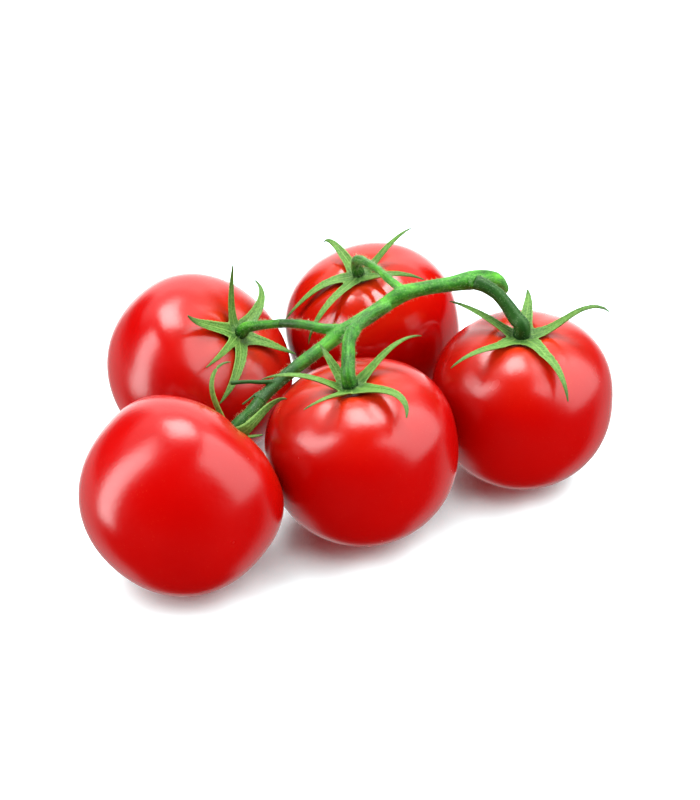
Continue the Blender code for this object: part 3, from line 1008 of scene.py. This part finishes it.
# A soft box as the fruits see it: its direction and half angles in degrees, its distance in
# metres, the share of its width that its edges fade over, and the share left at its foot.
SOFT_BOX_FIELDS = "azimuth elevation half_width half_height radiance distance soft low"
SoftBox = namedtuple("SoftBox", SOFT_BOX_FIELDS, defaults=(0.3, 1.0))
LEFT_BOX = SoftBox(-76, 20, 15, 42, 9.0, 0.5, low=0.8)
RIGHT_BOX = SoftBox(84, 36, 34, 36, 4.6, 1.0, soft=0.12, low=0.6)
WINDOW = SoftBox(65, 37, 9, 11, 2.2, 1.0, soft=0.02)
TOP_BOX = SoftBox(-165, 72, 18, 15, 12.5, 1.0, soft=0.25)
OVERHEAD_FILL = SoftBox(0, 80, 30, 30, 1.2, 1.0)
FLOOR_BOUNCE = SoftBox(5, -16, 60, 45, 2.0, 1.0)

# Patches of the world's light: from and to which azimuth off the front, and elevation, in
# degrees, how softly each ends, and the strength.
Patch = namedtuple("Patch", "side side_soft rise rise_soft strength")
WALL = Patch((160, 200), 14, (-30, 30), 12, 1.7)
CEILING = Patch((135, 200), 35, (38, 84), 12, 1.2)
SIDES = Patch((112, 170), 25, (-60, -8), 8, 0.5)
WORLD_BASE = 0.02


def towards(azimuth, elevation):
    """The direction at an azimuth from the front, to the right, and an elevation, in degrees."""
    turn, rise = math.radians(azimuth), math.radians(elevation)
    return Vector((math.sin(turn) * math.cos(rise), -math.cos(turn) * math.cos(rise), math.sin(rise)))


def soft_window(nodes, value, start, end, soft):
    """One between start and end, falling smoothly to zero over the soft distance outside them."""
    rise = nodes.add("MapRange", interpolation_type="SMOOTHSTEP")
    fall = nodes.add("MapRange", interpolation_type="SMOOTHSTEP")
    for node, low, high in ((rise, start - soft, start), (fall, end + soft, end)):
        node.inputs["From Min"].default_value = low
        node.inputs["From Max"].default_value = high
        nodes.link(value, node.inputs["Value"])
    return nodes.math("MULTIPLY", rise.outputs[0], fall.outputs[0])


def compass(nodes, vector):
    """The azimuth from the front and the elevation of a direction, in degrees."""
    parts = nodes.add("SeparateXYZ")
    nodes.link(vector, parts.inputs[0])
    front = nodes.math("MULTIPLY", parts.outputs[1], -1.0)
    azimuth = nodes.math("ARCTAN2", parts.outputs[0], front)
    elevation = nodes.math("ARCSINE", parts.outputs[2])
    return nodes.math("DEGREES", azimuth), nodes.math("DEGREES", elevation)


def make_floor():
    """A pale floor with painted light: it glows where nothing shelters it, which paints its soft contact
    shadows, and is dark in what mirrors it.
    """
    mesh = bpy.data.meshes.new("floor")
    half = FLOOR_SIDE / 2
    corners = [(-half, -half, 0), (half, -half, 0), (half, half, 0), (-half, half, 0)]
    mesh.from_pydata(corners, [], [(0, 1, 2, 3)])
    floor = bpy.data.objects.new("floor", mesh)
    bpy.context.collection.objects.link(floor)
    material, nodes, shader = new_material("pale_floor", Roughness=0.7, Specular_IOR_Level=0.1)
    place = nodes.add("TexCoord").outputs["Object"]
    pale = nodes.mix(nodes.noise(3.0, vector=place), *FLOOR_PALE)
    seen = nodes.add("LightPath").outputs["Is Camera Ray"]
    nodes.link(nodes.mix(seen, FLOOR_UNSEEN, pale), shader.inputs["Base Color"])
    # Painted light and shadow: emission for camera rays brightens the open floor and leaves it dark
    # close under the truss.
    shelter = nodes.add("AmbientOcclusion", samples=8)
    shelter.inputs["Distance"].default_value = FLOOR_SHELTER
    glow = nodes.ramp(shelter.outputs["AO"], (0.33, 0.0), (0.47, FLOOR_GLOW))
    nodes.link(pale, shader.inputs["Emission Color"])
    nodes.link(nodes.math("MULTIPLY", glow, seen), shader.inputs["Emission Strength"])
    mesh.materials.append(material)
    floor.visible_glossy = False
    floor.visible_shadow = False


def make_light(name, box):
    """A soft box, as one of the boxes above says."""
    light = bpy.data.lights.new(name, "AREA")
    light.shape = "RECTANGLE"
    light.size = 2 * box.distance * math.tan(math.radians(box.half_width))
    light.size_y = 2 * box.distance * math.tan(math.radians(box.half_height))
    light.energy = box.radiance * math.pi * light.size * light.size_y
    light.use_nodes = True
    nodes = Nodes(light.node_tree)
    parts = nodes.add("SeparateXYZ")
    nodes.link(nodes.add("NewGeometry").outputs["Parametric"], parts.inputs[0])
    edge = box.soft / 2
    across = soft_window(nodes, parts.outputs[0], box.soft, 1 - box.soft, box.soft)
    up = soft_window(nodes, parts.outputs[1], edge, 1 - edge, edge)
    fade = nodes.add("MapRange")
    fade.inputs["To Min"].default_value = box.low
    nodes.link(parts.outputs[1], fade.inputs["Value"])
    emission = light.node_tree.nodes["Emission"]
    whole = nodes.math("MULTIPLY", nodes.math("MULTIPLY", across, up), fade.outputs[0])
    nodes.link(whole, emission.inputs["Strength"])
    obj = bpy.data.objects.new(name, light)
    bpy.context.collection.objects.link(obj)
    direction = towards(box.azimuth, box.elevation)
    obj.location = LOOK_AT + direction * box.distance
    obj.rotation_euler = (-direction).to_track_quat("-Z", "Y").to_euler()
    obj.visible_camera = False
    return obj


def make_window(name, box):
    """A window of four panes, as one mirrored patch of light."""
    window = make_light(name, box)
    nodes = Nodes(window.data.node_tree)
    parts = nodes.add("SeparateXYZ")
    nodes.link(nodes.add("NewGeometry").outputs["Parametric"], parts.inputs[0])
    upright, level = (off_middle(nodes, parts.outputs[i]) for i in (0, 1))
    bars = nodes.math("MULTIPLY", upright, level)
    emission = window.data.node_tree.nodes["Emission"]
    nodes.link(bars, emission.inputs["Strength"])
    window.data.cycles.use_multiple_importance_sampling = False
    return window


def off_middle(nodes, value):
    """Nothing at a half, one elsewhere: a window bar."""
    aside = nodes.math("ABSOLUTE", nodes.math("SUBTRACT", value, 0.5))
    return nodes.math("GREATER_THAN", aside, WINDOW_BAR / 2)


def light_only(light, pieces):
    """The light falls on those pieces alone."""
    group = bpy.data.collections.new(light.name + "_falls_on")
    for piece in pieces:
        group.objects.link(piece)
    light.light_linking.receiver_collection = group


def make_world():
    """White walls behind and above, dark towards the front."""
    world = bpy.data.worlds.new("studio")
    world.use_nodes = True
    nodes = Nodes(world.node_tree)
    azimuth, elevation = compass(nodes, nodes.add("TexCoord").outputs["Generated"])
    side = nodes.math("ABSOLUTE", azimuth)
    light = None
    for patch in (WALL, CEILING, SIDES):
        aside = soft_window(nodes, side, *patch.side, patch.side_soft)
        rise = soft_window(nodes, elevation, *patch.rise, patch.rise_soft)
        part = nodes.math("MULTIPLY", nodes.math("MULTIPLY", aside, rise), patch.strength)
        light = nodes.math("ADD", part, WORLD_BASE if light is None else light)
    background = world.node_tree.nodes["Background"]
    background.inputs["Color"].default_value = (1, 1, 1, 1)
    nodes.link(light, background.inputs["Strength"])
    bpy.context.scene.world = world


def make_camera():
    camera = bpy.data.cameras.new("camera")
    camera.lens = LENS
    camera.sensor_width = 36.0
    obj = bpy.data.objects.new("camera", camera)
    bpy.context.collection.objects.link(obj)
    rise = math.radians(CAMERA_ELEVATION)
    obj.location = LOOK_AT + Vector((0, -math.cos(rise), math.sin(rise))) * CAMERA_DISTANCE
    obj.rotation_euler = (math.radians(90 - CAMERA_ELEVATION), 0, 0)
    bpy.context.scene.camera = obj


def main():
    bpy.context.scene.view_settings.view_transform = "Standard"
    make_camera()
    make_floor()
    make_world()
    make_light("left_box", LEFT_BOX)
    right = make_light("right_box", RIGHT_BOX)
    back_right = make_light("back_right_fill", RIGHT_BOX)
    pane = make_window("window", WINDOW)
    make_light("top_box", TOP_BOX)
    overhead = make_light("overhead_fill", OVERHEAD_FILL)
    bounce = make_light("floor_bounce", FLOOR_BOUNCE)
    for fill in (back_right, overhead, bounce):
        fill.visible_glossy = False
        fill.data.cycles.use_multiple_importance_sampling = False
    skin = skin_material()
    leaf = leaf_material()
    stem = stalk_material()
    placings = {}
    tomatoes = {}
    for name, fruit in FRUITS.items():
        tomatoes[name], placings[name] = make_tomato(name, fruit, skin)
        make_calyx(name, fruit, placings[name], leaf)
    make_stalk(placings, stem)
    sheltered = tomatoes[SHELTERED]
    meshes = [piece for piece in bpy.data.objects if piece.type == "MESH"]
    others = [piece for piece in meshes if piece is not sheltered]
    light_only(right, others)
    light_only(back_right, [sheltered])
    light_only(pane, [sheltered])
    pane.light_linking.blocker_collection = pane.light_linking.receiver_collection
    light_only(bounce, tomatoes.values())


main()
